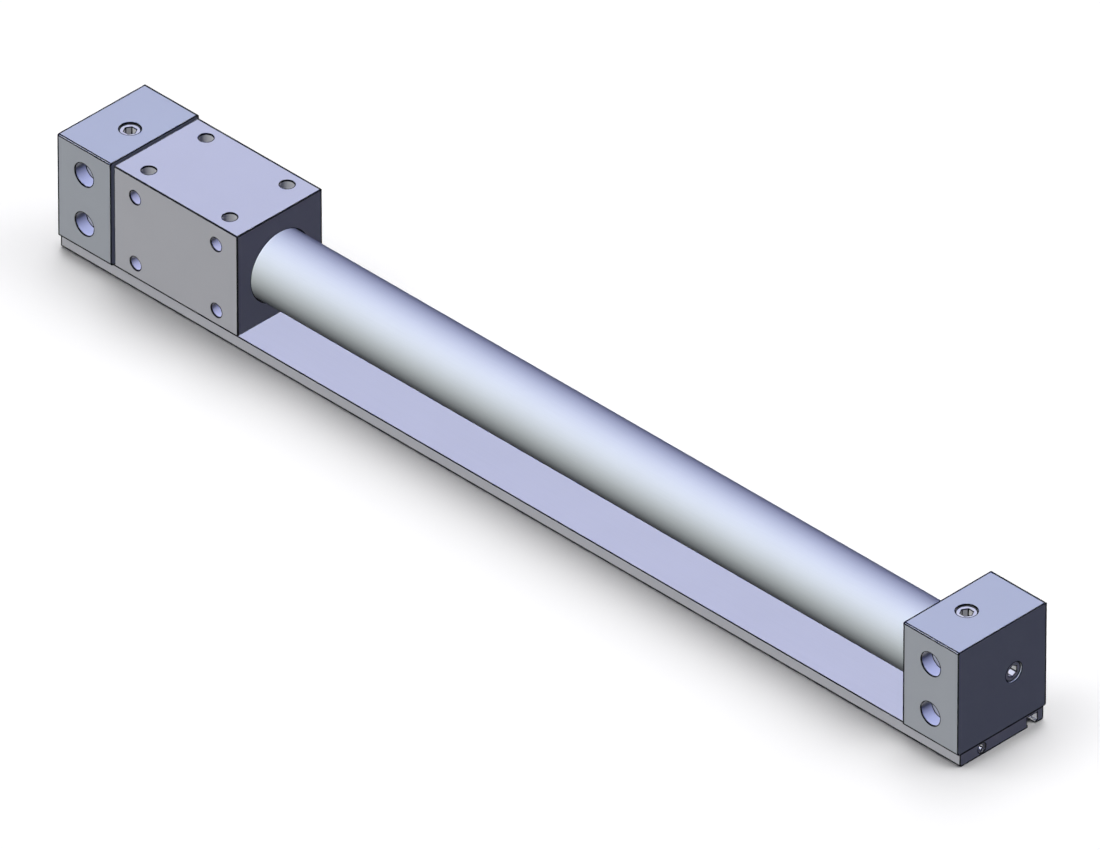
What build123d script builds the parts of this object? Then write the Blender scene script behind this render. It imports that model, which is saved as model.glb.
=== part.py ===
from build123d import *
import math
import os

os.makedirs("parts", exist_ok=True)

# Magnetically coupled rodless cylinder with direct mounting heads and a switch rail.
# Millimetres. X runs along the stroke, Y across the heads, Z up.
# The origin is the centre of the rail's bottom face. The slider rests at the -X end.

# Travel and overall sizes
STROKE = 400.0
SLIDER_L = 75.5
END_GAP = 1.0
HEAD_L = 32.5
HEAD_W = 53.3
HEAD_H = 53.3
HEAD_CHAMFER = 0.5
RAIL_W = 50.2
RAIL_T = 6.5
RAIL_CHAMFER = 0.5
SLIDER_W = 51.3
SLIDER_H = 52.2
SLIDER_LIFT = 0.3
SLIDER_CHAMFER = 0.4
AXIS_OVER_RAIL = 25.0

# Tube and clearances
BORE_R = 16.0
TUBE_WALL = 1.1
RUN_CLEAR = 0.05
SOCKET_L = 8.5

# Holes through the heads for the mounting screws
MOUNT_R = 3.3
MOUNT_HEAD_R = 5.7
MOUNT_HEAD_DEEP = 6.7
MOUNT_PITCH = 25.7
MOUNT_LOW_OVER_RAIL = 14.0

# Ports and plugs, 1/8 pipe thread
PORT_R = 4.86
PORT_DRILL_R = 4.2
PORT_THREAD_L = 7.5
PORT_IN = 19.4
PORT_SIDE = -1.9
END_PORT_SIDE = 7.05
END_PORT_OVER_RAIL = 26.8
FEED_PORT_SIDE = -9.5
PLUG_RECESS = 0.9
PLUG_L = 6.2
PLUG_HEX = 5.0
PLUG_HEX_DEEP = 3.6

# Rail: air passage, its end plugs, and the switch slot
PASSAGE_SIDE = -11.9
PASSAGE_UP = 3.4
PASSAGE_R = 1.9
PASSAGE_PLUG_R = 2.45
PASSAGE_PLUG_L = 4.5
PASSAGE_PLUG_RECESS = 0.8
PASSAGE_PLUG_HEX = 2.5
RISER_R = 1.5
LEFT_RISER_IN = 8.5
RIGHT_RISER_IN = 22.3
RISER_SEAL_R = 3.2
RISER_SEAL_T = 1.2
RISER_SEAL_CHAMFER = 0.25
SLOT_SIDE = 18.3
SLOT_MOUTH_W = 5.0
SLOT_W = 6.3
SLOT_LIP = 1.2
SLOT_DEEP = 5.1
SLOT_EASE = 0.3

# Screws that hold the heads to the rail, M5 countersunk
SCREW_R = 2.5
SCREW_HEAD_R = 4.6
SCREW_SINK = 0.3
SCREW_L = 12.0
SCREW_HOLE_MORE = 0.7
SCREW_HEX = 3.0
SCREW_HEX_DEEP = 1.9
SCREW_FRONT_SIDE = -19.7
SCREW_BACK_SIDE = 5.0

# Inside the heads
RECESS_R = 13.0
RECESS_L = 3.4
CUT_MORE = 0.5
BLEED_R = 1.2
BLEED_WEB = 0.1
END_BLEED_R = 2.0
TUBE_SEAL_LAND = 2.9
TUBE_SEAL_W = 2.2
TUBE_SEAL_DEEP = 1.9
TUBE_SEAL_CHAMFER = 0.4
BUMPER_L = 6.0
BUMPER_IN_R = 12.0
BUMPER_PLAY = 0.1
BUMPER_CHAMFER = 0.5

# Coupling: alternating rings on both sides of the tube
YOKE_L = 5.0
MAGNET_COUNT = 3
OUTER_RING_R = 21.5
OUTER_PLAY = 0.6
INNER_PLAY = 0.5

# Slider ends and tapped holes, M8
END_WALL_L = 3.75
BEARING_L = 6.0
FELT_L = 1.5
SCRAPER_L = 1.5
SCRAPER_HEEL = 1.2
SCRAPER_LIP = 0.6
RETAIN_L = 1.2
RETAIN_IN = 0.35
RETAIN_DEEP = 1.2
RETAIN_W = 2.6
RETAIN_OPEN = 5.2
LUG_IN = 2.9
LUG_R = 1.7
LUG_EYE_R = 0.8
LUG_TURN = 14.0
RING_CHAMFER = 0.4
SLIDER_HOLE_PLAY = 0.4
TAP_R = 3.32
TAP_FRONT_DEEP = 7.5
TAP_WEB = 0.4
TAP_PITCH_X = 49.5
TAP_PITCH_ACROSS = 34.5
SWITCH_MAGNET_X = 12.0
SWITCH_MAGNET_Y = 4.4
SWITCH_MAGNET_Z = 3.0

# Piston
SHAFT_R = 4.0
PISTON_GAP = 0.2
PISTON_PLAY = 0.3
PISTON_SEAL_LAND = 1.6
PISTON_SEAL_W = 3.0
PISTON_SEAL_DEEP = 2.5
PISTON_SEAL_LIP = 0.35
PISTON_CHAMFER = 0.5
WEAR_RING_LAND = 2.5
WEAR_RING_W = 5.0
WEAR_RING_DEEP = 1.5
NUT_L = 4.5
NUT_ACROSS = 13.0
NUT_POCKET_L = 5.2
NUT_POCKET_R = 9.0

# Derived sizes
TOTAL_L = STROKE + SLIDER_L + 2 * END_GAP + 2 * HEAD_L
HALF_L = TOTAL_L / 2
REST_X = HEAD_L + END_GAP + SLIDER_L / 2 - HALF_L
AXIS_Z = RAIL_T + AXIS_OVER_RAIL
TUBE_R = BORE_R + TUBE_WALL
HEAD_TOP = RAIL_T + HEAD_H
HEAD_FRONT = -HEAD_W / 2
SLIDER_LOW = RAIL_T + SLIDER_LIFT
SLIDER_TOP = SLIDER_LOW + SLIDER_H
SLIDER_FRONT = -SLIDER_W / 2
SOCKET_IN = HEAD_L - SOCKET_L
RECESS_IN = SOCKET_IN - RECESS_L
TUBE_SEAL_IN = SOCKET_IN + TUBE_SEAL_LAND
TUBE_END = HALF_L - SOCKET_IN
MOUNT_IN = HEAD_L / 2
MOUNT_LOW = RAIL_T + MOUNT_LOW_OVER_RAIL
MOUNT_HIGH = MOUNT_LOW + MOUNT_PITCH
END_PORT_Z = RAIL_T + END_PORT_OVER_RAIL
RETAIN_OUT = SLIDER_L / 2 - RETAIN_IN
COVER_OUT = RETAIN_OUT - RETAIN_L
SCRAPER_OUT = SLIDER_L / 2 - END_WALL_L
FELT_OUT = SCRAPER_OUT - SCRAPER_L
BEARING_OUT = FELT_OUT - FELT_L
STACK_HALF = BEARING_OUT - BEARING_L
MAGNET_L = (2 * STACK_HALF - (MAGNET_COUNT + 1) * YOKE_L) / MAGNET_COUNT
TAP_TOP_DEEP = SLIDER_TOP - AXIS_Z - TAP_PITCH_ACROSS / 2 - TAP_R - TAP_WEB
RUN_R = TUBE_R + RUN_CLEAR
SLIDER_HOLE_R = TUBE_R + SLIDER_HOLE_PLAY
BUMPER_FACE = SOCKET_IN + BUMPER_L
PISTON_HALF = SLIDER_L / 2 + END_GAP + HEAD_L - BUMPER_FACE - PISTON_GAP
PISTON_R = BORE_R - PISTON_PLAY
SEAL_RUN_R = BORE_R - RUN_CLEAR
NUT_IN = PISTON_HALF - NUT_POCKET_L
WEAR_RING_NEAR = STACK_HALF + WEAR_RING_LAND
SEAL_NEAR = WEAR_RING_NEAR + WEAR_RING_W + PISTON_SEAL_LAND


def block(x0, x1, y0, y1, z0, z1):
    """A box between two corners."""
    middle = Pos((x0 + x1) / 2, (y0 + y1) / 2, (z0 + z1) / 2)
    return middle * Box(abs(x1 - x0), abs(y1 - y0), abs(z1 - z0))


def rod_x(x0, x1, y, z, r):
    """A cylinder along X."""
    return Pos((x0 + x1) / 2, y, z) * Rot(0, 90, 0) * Cylinder(r, abs(x1 - x0))


def rod_y(x, y0, y1, z, r):
    """A cylinder along Y."""
    return Pos(x, (y0 + y1) / 2, z) * Rot(90, 0, 0) * Cylinder(r, abs(y1 - y0))


def rod_z(x, y, z0, z1, r):
    """A cylinder along Z."""
    return Pos(x, y, (z0 + z1) / 2) * Cylinder(r, abs(z1 - z0))


def ring_x(x0, x1, r_out, r_in):
    """A plain ring around the tube's axis."""
    outer = rod_x(x0, x1, 0, AXIS_Z, r_out)
    return outer - rod_x(x0, x1, 0, AXIS_Z, r_in)


def turned_x(points):
    """A ring turned around the tube's axis from (x, radius) points."""
    profile = Polygon(*[(x, r) for x, r in points], align=None)
    face = Plane.XZ * profile
    return Pos(0, 0, AXIS_Z) * revolve(face, Axis.X, 360)


def hex_prism(across, depth):
    """A hexagon bar along +Z from the origin, with a corner on X."""
    corner_r = across / math.sqrt(3)
    return extrude(RegularPolygon(corner_r, 6), depth)


def save(shape, name):
    """Write one sub-part."""
    shape.label = name
    export_step(shape, f"parts/{name}.step")


def end_x(side, inward):
    """The X of a plane that lies inward of one end of the cylinder."""
    return side * (HALF_L - inward)


def recess_height(y):
    """Half the height of a head's air recess at a distance from its middle."""
    return math.sqrt(RECESS_R**2 - y**2)


def riser_in(side):
    """How far in from its end each head meets the rail's air passage."""
    return LEFT_RISER_IN if side < 0 else RIGHT_RISER_IN


# Switch rail
def make_rail():
    half = RAIL_W / 2
    mouth_a = SLOT_SIDE - SLOT_MOUTH_W / 2
    mouth_b = SLOT_SIDE + SLOT_MOUTH_W / 2
    wall_a = SLOT_SIDE - SLOT_W / 2
    wall_b = SLOT_SIDE + SLOT_W / 2
    points = [
        (-half + RAIL_CHAMFER, 0),
        (mouth_a - SLOT_EASE, 0),
        (mouth_a, SLOT_EASE),
        (mouth_a, SLOT_LIP),
        (wall_a, SLOT_LIP),
        (wall_a, SLOT_DEEP),
        (wall_b, SLOT_DEEP),
        (wall_b, SLOT_LIP),
        (mouth_b, SLOT_LIP),
        (mouth_b, SLOT_EASE),
        (mouth_b + SLOT_EASE, 0),
        (half - RAIL_CHAMFER, 0),
        (half, RAIL_CHAMFER),
        (half, RAIL_T),
        (-half, RAIL_T),
        (-half, RAIL_CHAMFER),
    ]
    profile = Plane.YZ.offset(-HALF_L) * Polygon(*points, align=None)
    rail = extrude(profile, TOTAL_L)
    rail -= rod_x(-HALF_L, HALF_L, PASSAGE_SIDE, PASSAGE_UP, PASSAGE_R)
    for side in (-1, 1):
        mouth = end_x(side, 0)
        seat = end_x(side, PASSAGE_PLUG_RECESS + PASSAGE_PLUG_L)
        rail -= rod_x(seat, mouth, PASSAGE_SIDE, PASSAGE_UP, PASSAGE_PLUG_R)
        x = end_x(side, riser_in(side))
        rail -= rod_z(x, PASSAGE_SIDE, PASSAGE_UP, RAIL_T, RISER_R)
        for y in (SCREW_FRONT_SIDE, SCREW_BACK_SIDE):
            rail -= screw_space(end_x(side, MOUNT_IN), y)
    return rail


def screw_space(x, y):
    """The countersunk hole for one rail screw, from the rail's bottom face."""
    wide = SCREW_HEAD_R + SCREW_SINK
    depth = wide - SCREW_R
    sink = Pos(x, y, depth / 2) * Cone(wide, SCREW_R, depth)
    return sink + rod_z(x, y, depth, RAIL_T, SCREW_R)


def make_rail_screw(x, y):
    head_h = SCREW_HEAD_R - SCREW_R
    low = SCREW_SINK
    head = Pos(x, y, low + head_h / 2) * Cone(SCREW_HEAD_R, SCREW_R, head_h)
    shank = rod_z(x, y, low + head_h, low + SCREW_L, SCREW_R)
    socket = Pos(x, y, low) * hex_prism(SCREW_HEX, SCREW_HEX_DEEP)
    return head + shank - socket


# Heads
def make_head(side):
    outer = end_x(side, 0)
    inner = end_x(side, HEAD_L)
    head = block(outer, inner, -HEAD_W / 2, HEAD_W / 2, RAIL_T, HEAD_TOP)
    head = chamfer(head.edges().filter_by(Axis.X), HEAD_CHAMFER)
    seat = end_x(side, SOCKET_IN)
    head -= rod_x(seat, inner, 0, AXIS_Z, TUBE_R)
    head -= rod_x(end_x(side, RECESS_IN), seat, 0, AXIS_Z, RECESS_R)
    groove_a = end_x(side, TUBE_SEAL_IN)
    groove_b = end_x(side, TUBE_SEAL_IN + TUBE_SEAL_W)
    head -= ring_x(groove_a, groove_b, TUBE_R + TUBE_SEAL_DEEP, TUBE_R - CUT_MORE)
    mount_x = end_x(side, MOUNT_IN)
    for z in (MOUNT_LOW, MOUNT_HIGH):
        head -= rod_y(mount_x, -HEAD_W / 2, HEAD_W / 2, z, MOUNT_R)
        floor = HEAD_FRONT + MOUNT_HEAD_DEEP
        head -= rod_y(mount_x, HEAD_FRONT, floor, z, MOUNT_HEAD_R)
    # top port, and the small drilling beside the mounting hole to the chamber
    port_x = end_x(side, PORT_IN)
    port_floor = HEAD_TOP - PORT_THREAD_L
    head -= rod_z(port_x, PORT_SIDE, port_floor, HEAD_TOP, PORT_R)
    bleed_x = end_x(side, RECESS_IN + BLEED_R + BLEED_WEB)
    bleed_low = AXIS_Z + recess_height(PORT_SIDE) - BLEED_R
    head -= rod_z(bleed_x, PORT_SIDE, bleed_low, port_floor, BLEED_R)
    # end port with its straight way to the chamber
    thread_x = end_x(side, PORT_THREAD_L)
    recess_x = end_x(side, RECESS_IN + CUT_MORE)
    head -= rod_x(outer, thread_x, END_PORT_SIDE, END_PORT_Z, PORT_R)
    head -= rod_x(thread_x, recess_x, END_PORT_SIDE, END_PORT_Z, END_BLEED_R)
    # riser from the rail's passage
    riser_x = end_x(side, riser_in(side))
    if side < 0:
        drill_x = end_x(side, LEFT_RISER_IN + RISER_R)
        head -= rod_x(outer, thread_x, FEED_PORT_SIDE, END_PORT_Z, PORT_R)
        head -= rod_x(thread_x, drill_x, FEED_PORT_SIDE, END_PORT_Z, PORT_DRILL_R)
        riser_top = END_PORT_Z
    else:
        riser_top = AXIS_Z - recess_height(PASSAGE_SIDE) + RISER_R
    head -= rod_z(riser_x, PASSAGE_SIDE, RAIL_T, riser_top, RISER_R)
    seal_top = RAIL_T + RISER_SEAL_T
    head -= rod_z(riser_x, PASSAGE_SIDE, RAIL_T, seal_top, RISER_SEAL_R)
    for y in (SCREW_FRONT_SIDE, SCREW_BACK_SIDE):
        top = SCREW_SINK + SCREW_L + SCREW_HOLE_MORE
        head -= rod_z(mount_x, y, RAIL_T, top, SCREW_R)
    return head


def make_tube():
    return ring_x(-TUBE_END, TUBE_END, TUBE_R, BORE_R)


def make_tube_seal(side):
    a = end_x(side, TUBE_SEAL_IN)
    b = end_x(side, TUBE_SEAL_IN + TUBE_SEAL_W)
    seal = ring_x(a, b, TUBE_R + TUBE_SEAL_DEEP, TUBE_R)
    corners = seal.edges().filter_by(GeomType.CIRCLE)
    return chamfer(corners, TUBE_SEAL_CHAMFER)


def make_bumper(side):
    a = end_x(side, SOCKET_IN)
    b = end_x(side, BUMPER_FACE)
    bumper = ring_x(a, b, BORE_R - BUMPER_PLAY, BUMPER_IN_R)
    rims = bumper.edges().filter_by(GeomType.CIRCLE)
    return chamfer(rims, BUMPER_CHAMFER)


def make_top_plug(side):
    x = end_x(side, PORT_IN)
    top = HEAD_TOP - PLUG_RECESS
    plug = rod_z(x, PORT_SIDE, top - PLUG_L, top, PORT_R)
    low = Pos(x, PORT_SIDE, top - PLUG_HEX_DEEP)
    return plug - low * hex_prism(PLUG_HEX, PLUG_HEX_DEEP)


def make_end_plug():
    face = end_x(1, PLUG_RECESS)
    plug = rod_x(face - PLUG_L, face, END_PORT_SIDE, END_PORT_Z, PORT_R)
    place = Pos(face - PLUG_HEX_DEEP, END_PORT_SIDE, END_PORT_Z)
    socket = place * Rot(0, 90, 0) * hex_prism(PLUG_HEX, PLUG_HEX_DEEP)
    return plug - socket


def make_passage_plug(side):
    face = end_x(side, PASSAGE_PLUG_RECESS)
    back = end_x(side, PASSAGE_PLUG_RECESS + PASSAGE_PLUG_L)
    plug = rod_x(back, face, PASSAGE_SIDE, PASSAGE_UP, PASSAGE_PLUG_R)
    depth = PASSAGE_PLUG_L / 2
    start = face - depth if side > 0 else face
    place = Pos(start, PASSAGE_SIDE, PASSAGE_UP)
    return plug - place * Rot(0, 90, 0) * hex_prism(PASSAGE_PLUG_HEX, depth)


def make_riser_seal(side):
    x = end_x(side, riser_in(side))
    top = RAIL_T + RISER_SEAL_T
    ring = rod_z(x, PASSAGE_SIDE, RAIL_T, top, RISER_SEAL_R)
    ring -= rod_z(x, PASSAGE_SIDE, RAIL_T, top, RISER_R)
    return chamfer(ring.edges().filter_by(GeomType.CIRCLE), RISER_SEAL_CHAMFER)


# Slider
def make_slider_block():
    a = REST_X - SLIDER_L / 2
    b = REST_X + SLIDER_L / 2
    body = block(a, b, -SLIDER_W / 2, SLIDER_W / 2, SLIDER_LOW, SLIDER_TOP)
    body = chamfer(body.edges(), SLIDER_CHAMFER)
    body -= rod_x(a, b, 0, AXIS_Z, SLIDER_HOLE_R)
    body -= rod_x(a, REST_X + SCRAPER_OUT, 0, AXIS_Z, OUTER_RING_R)
    groove_a = REST_X - RETAIN_OUT
    groove_b = REST_X - COVER_OUT
    body -= rod_x(groove_a, groove_b, 0, AXIS_Z, OUTER_RING_R + RETAIN_DEEP)
    # tapped holes; the top ones end above the front ones
    floor = SLIDER_TOP - TAP_TOP_DEEP
    end = SLIDER_FRONT + TAP_FRONT_DEEP
    for dx in (-TAP_PITCH_X / 2, TAP_PITCH_X / 2):
        x = REST_X + dx
        for offset in (-TAP_PITCH_ACROSS / 2, TAP_PITCH_ACROSS / 2):
            body -= rod_z(x, offset, floor, SLIDER_TOP, TAP_R)
            body -= rod_y(x, SLIDER_FRONT, end, AXIS_Z + offset, TAP_R)
    body -= switch_magnet_block(0.0)
    return body


def switch_magnet_block(sink):
    """The pocket in the slider's bottom, or the magnet in it when sink is over 0."""
    x = SWITCH_MAGNET_X / 2
    y = SWITCH_MAGNET_Y / 2
    z = SLIDER_LOW + sink
    top = SLIDER_LOW + SWITCH_MAGNET_Z
    return block(REST_X - x, REST_X + x, SLOT_SIDE - y, SLOT_SIDE + y, z, top)


def ring_starts():
    """Where each yoke and each magnet ring begins, from the stack's centre."""
    yokes = []
    magnets = []
    x = -STACK_HALF
    for _ in range(MAGNET_COUNT):
        yokes.append(x)
        magnets.append(x + YOKE_L)
        x += YOKE_L + MAGNET_L
    yokes.append(x)
    return yokes, magnets


def slider_ring(near, far, side, r_in):
    """A ring in the slider's bore, placed from the slider's centre on one side."""
    return ring_x(REST_X + side * near, REST_X + side * far, OUTER_RING_R, r_in)


def make_bearing(side):
    ring = slider_ring(STACK_HALF, BEARING_OUT, side, RUN_R)
    inner = ring.edges().filter_by(GeomType.CIRCLE).group_by(SortBy.RADIUS)[0]
    return chamfer(inner, RING_CHAMFER)


def make_scraper(side):
    near = REST_X + side * FELT_OUT
    far = REST_X + side * SCRAPER_OUT
    points = [
        (near, OUTER_RING_R),
        (near, TUBE_R + SCRAPER_HEEL),
        (far - side * SCRAPER_LIP, TUBE_R + SCRAPER_HEEL / 2),
        (far - side * SCRAPER_LIP / 2, RUN_R),
        (far, RUN_R),
        (far, OUTER_RING_R),
    ]
    return turned_x(points)


def make_cover():
    ring = slider_ring(SCRAPER_OUT, COVER_OUT, -1, SLIDER_HOLE_R)
    inner = ring.edges().filter_by(GeomType.CIRCLE).group_by(SortBy.RADIUS)[0]
    return chamfer(inner, RING_CHAMFER / 2)


def make_retaining_ring():
    """An open spring ring with two lugs and their plier holes at its top."""
    a = REST_X - RETAIN_OUT
    b = REST_X - COVER_OUT
    r = OUTER_RING_R + RETAIN_DEEP
    lug_r = r - LUG_IN
    turn = math.radians(LUG_TURN)
    lug_y = lug_r * math.sin(turn)
    lug_z = AXIS_Z + lug_r * math.cos(turn)
    ring = ring_x(a, b, r, r - RETAIN_W)
    for y in (-lug_y, lug_y):
        ring += rod_x(a, b, y, lug_z, LUG_R)
    ring -= block(a, b, -RETAIN_OPEN / 2, RETAIN_OPEN / 2, lug_z - LUG_R, AXIS_Z + r)
    for y in (-lug_y, lug_y):
        ring -= rod_x(a, b, y, lug_z, LUG_EYE_R)
    return ring


# Piston
def inner_ring(start, length):
    x = REST_X + start
    return ring_x(x, x + length, BORE_R - INNER_PLAY, SHAFT_R)


def make_piston_end(side):
    near = REST_X + side * STACK_HALF
    far = REST_X + side * PISTON_HALF
    body = ring_x(near, far, PISTON_R, SHAFT_R)
    rims = body.edges().filter_by(GeomType.CIRCLE).group_by(SortBy.RADIUS)[-1]
    body = chamfer(rims, PISTON_CHAMFER)
    body -= rod_x(REST_X + side * NUT_IN, far, 0, AXIS_Z, NUT_POCKET_R)
    a = REST_X + side * WEAR_RING_NEAR
    b = REST_X + side * (WEAR_RING_NEAR + WEAR_RING_W)
    body -= ring_x(a, b, PISTON_R + CUT_MORE, SEAL_RUN_R - WEAR_RING_DEEP)
    c = REST_X + side * SEAL_NEAR
    d = REST_X + side * (SEAL_NEAR + PISTON_SEAL_W)
    body -= ring_x(c, d, PISTON_R + CUT_MORE, SEAL_RUN_R - PISTON_SEAL_DEEP)
    return body


def make_piston_seal(side):
    a = REST_X + side * SEAL_NEAR
    b = REST_X + side * (SEAL_NEAR + PISTON_SEAL_W)
    low = SEAL_RUN_R - PISTON_SEAL_DEEP
    points = [
        (a, low),
        (a, PISTON_R - PISTON_SEAL_LIP),
        (a + (b - a) / 3, SEAL_RUN_R - PISTON_SEAL_LIP),
        (b - (b - a) / 4, SEAL_RUN_R),
        (b, SEAL_RUN_R),
        (b, low),
    ]
    return turned_x(points)


def make_wear_ring(side):
    a = REST_X + side * WEAR_RING_NEAR
    b = REST_X + side * (WEAR_RING_NEAR + WEAR_RING_W)
    return ring_x(a, b, SEAL_RUN_R, SEAL_RUN_R - WEAR_RING_DEEP)


def make_shaft():
    half = NUT_IN + NUT_L
    shaft = rod_x(REST_X - half, REST_X + half, 0, AXIS_Z, SHAFT_R)
    return chamfer(shaft.edges().filter_by(GeomType.CIRCLE), PISTON_CHAMFER)


def make_nut(side):
    near = REST_X + side * NUT_IN
    start = near if side > 0 else near - NUT_L
    place = Pos(start, 0, AXIS_Z) * Rot(0, 90, 0)
    nut = place * hex_prism(NUT_ACROSS, NUT_L)
    return nut - rod_x(start, start + NUT_L, 0, AXIS_Z, SHAFT_R)


SIDES = (("left", -1), ("right", 1))

save(make_rail(), "switch_rail")
save(make_tube(), "cylinder_tube")
for word, side in SIDES:
    save(make_head(side), f"head_{word}")
    save(make_tube_seal(side), f"tube_seal_{word}")
    save(make_bumper(side), f"bumper_{word}")
    save(make_top_plug(side), f"top_plug_{word}")
    save(make_passage_plug(side), f"passage_plug_{word}")
    save(make_riser_seal(side), f"riser_seal_{word}")
    screw_x = end_x(side, MOUNT_IN)
    save(make_rail_screw(screw_x, SCREW_FRONT_SIDE), f"rail_screw_{word}_front")
    save(make_rail_screw(screw_x, SCREW_BACK_SIDE), f"rail_screw_{word}_back")
save(make_end_plug(), "end_plug_right")

save(make_slider_block(), "slider_block")
save(switch_magnet_block(0.2), "switch_magnet")
save(make_cover(), "slider_cover")
save(make_retaining_ring(), "retaining_ring")
for word, side in SIDES:
    save(make_bearing(side), f"slider_bearing_{word}")
    save(slider_ring(BEARING_OUT, FELT_OUT, side, RUN_R), f"grease_felt_{word}")
    save(make_scraper(side), f"scraper_{word}")

yoke_starts, magnet_starts = ring_starts()
for index, start in enumerate(yoke_starts, 1):
    a = REST_X + start
    ring = ring_x(a, a + YOKE_L, OUTER_RING_R, TUBE_R + OUTER_PLAY)
    save(ring, f"outer_yoke_{index}")
    save(inner_ring(start, YOKE_L), f"inner_yoke_{index}")
for index, start in enumerate(magnet_starts, 1):
    a = REST_X + start
    ring = ring_x(a, a + MAGNET_L, OUTER_RING_R, TUBE_R + OUTER_PLAY)
    save(ring, f"outer_magnet_{index}")
    save(inner_ring(start, MAGNET_L), f"inner_magnet_{index}")

save(make_shaft(), "piston_shaft")
for word, side in SIDES:
    save(make_piston_end(side), f"piston_end_{word}")
    save(make_piston_seal(side), f"piston_seal_{word}")
    save(make_wear_ring(side), f"piston_wear_ring_{word}")
    save(make_nut(side), f"piston_nut_{word}")
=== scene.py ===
"""The looks of a magnetically coupled rodless cylinder, built round its fixed frame.

The frame holds every rigid piece at its real size. This script gives each one its
finish, cuts the threads that the tapped holes and ports show, and sets up a plain
studio with the camera where the photograph was taken from.
"""

from __future__ import annotations

import logging
import math
from dataclasses import dataclass
from enum import Enum

import bmesh
import bpy
from mathutils import Matrix, Vector

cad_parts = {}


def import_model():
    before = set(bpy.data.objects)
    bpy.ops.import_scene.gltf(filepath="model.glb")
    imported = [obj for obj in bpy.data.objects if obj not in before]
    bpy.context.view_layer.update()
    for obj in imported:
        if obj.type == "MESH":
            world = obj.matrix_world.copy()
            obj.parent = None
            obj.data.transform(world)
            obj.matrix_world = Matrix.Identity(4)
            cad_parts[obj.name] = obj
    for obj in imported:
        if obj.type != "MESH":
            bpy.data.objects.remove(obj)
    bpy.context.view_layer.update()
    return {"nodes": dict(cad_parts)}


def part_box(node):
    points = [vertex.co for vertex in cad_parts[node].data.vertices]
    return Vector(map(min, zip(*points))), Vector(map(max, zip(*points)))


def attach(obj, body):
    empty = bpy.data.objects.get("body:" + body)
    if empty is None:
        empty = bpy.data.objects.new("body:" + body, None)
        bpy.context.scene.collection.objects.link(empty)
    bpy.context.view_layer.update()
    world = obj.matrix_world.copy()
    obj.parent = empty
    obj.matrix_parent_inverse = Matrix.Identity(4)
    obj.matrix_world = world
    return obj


log = logging.getLogger("rodless_cylinder")

MM = 0.001
Colour = tuple[float, float, float]

# The tube's axis over the floor and its radius, in millimetres.
TUBE_Z = 31.5
TUBE_R = 17.1

# The shares of the fine noise and of the clouds in a finish's tone.
FINE_SHARE = 0.55
CLOUD_SHARE = 0.45

# The lowest value that noise takes for most of a surface, how far up it goes from
# there, and its middle.
NOISE_LOW = 0.25
NOISE_SPAN = 0.5
NOISE_MIDDLE = 0.5

# How far the fine noise and the clouds move the roughness.
FINE_GLOSS = 0.06
CLOUD_GLOSS = 0.08

# The outer share of a dark line over which it fades.
LINE_FADE = 0.3

# A chamfer over this width stays bright between its two lines, which are narrower there.
BRIGHT_CHAMFER = 0.45
BRIGHT_SIDE = 2.6

# The cosine over which two directions count as parallel.
NEARLY_PARALLEL = 0.99

# The kinds of ray that show a surface to the camera, itself or in metal and glass.
SEEING_RAYS = ("Is Camera Ray", "Is Glossy Ray", "Is Transmission Ray")

# The pieces that stop the light of the floor's two low lamps.
LOW_PIECES = ("switch_rail", "cylinder_tube")


class Axis(Enum):
    """A direction of the frame, by the place of its coordinate."""

    X = 0
    Y = 1
    Z = 2

    @property
    def across(self) -> tuple[int, int]:
        """The places of the other two coordinates."""
        return ((1, 2), (0, 2), (0, 1))[self.value]


class Grain(Enum):
    """How a surface was worked, which sets the direction of its fine marks."""

    BLASTED = (1.0, 1.0, 1.0)
    DRAWN = (60.0, 1.0, 1.0)
    MOULDED = (2.5, 2.5, 2.5)
    FIBROUS = (4.0, 1.0, 1.0)


class Stroke(float, Enum):
    """How far a dark line reaches from its edge, in millimetres."""

    SLOT_RUN = 0.22
    CHAMFER = 0.27
    SOCKET = 0.3
    SEAT = 0.34
    SLOT_END = 0.4
    RIM = 0.42
    TAP = 0.46
    MOUTH = 0.5
    EDGE = 0.52
    PLUG = 0.6
    RAIL_EDGE = 0.75
    SEAM = 0.85
    CORNER = 0.9
    HEAD_LEFT_CORNER = 0.95
    HEAD_RIGHT_CORNER = 1.0
    BACK_EDGE = 1.1


class Down(float, Enum):
    """How far a dark line reaches down the wall of a hole, in millimetres, where it is painted
    shade.

    Names with the same reach stand for one member.
    """

    AS_WIDE = 0.0
    END_PORT = 0.3
    SLOT_TOP = 0.8
    COUNTERBORE = 0.8
    TAP = 0.9
    PASSAGE = 0.9
    TOP_PORT = 1.0
    # Painted shade deep in the gap round the tube, in the slider's running hole.
    RUNNING_HOLE = 5.5


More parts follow.
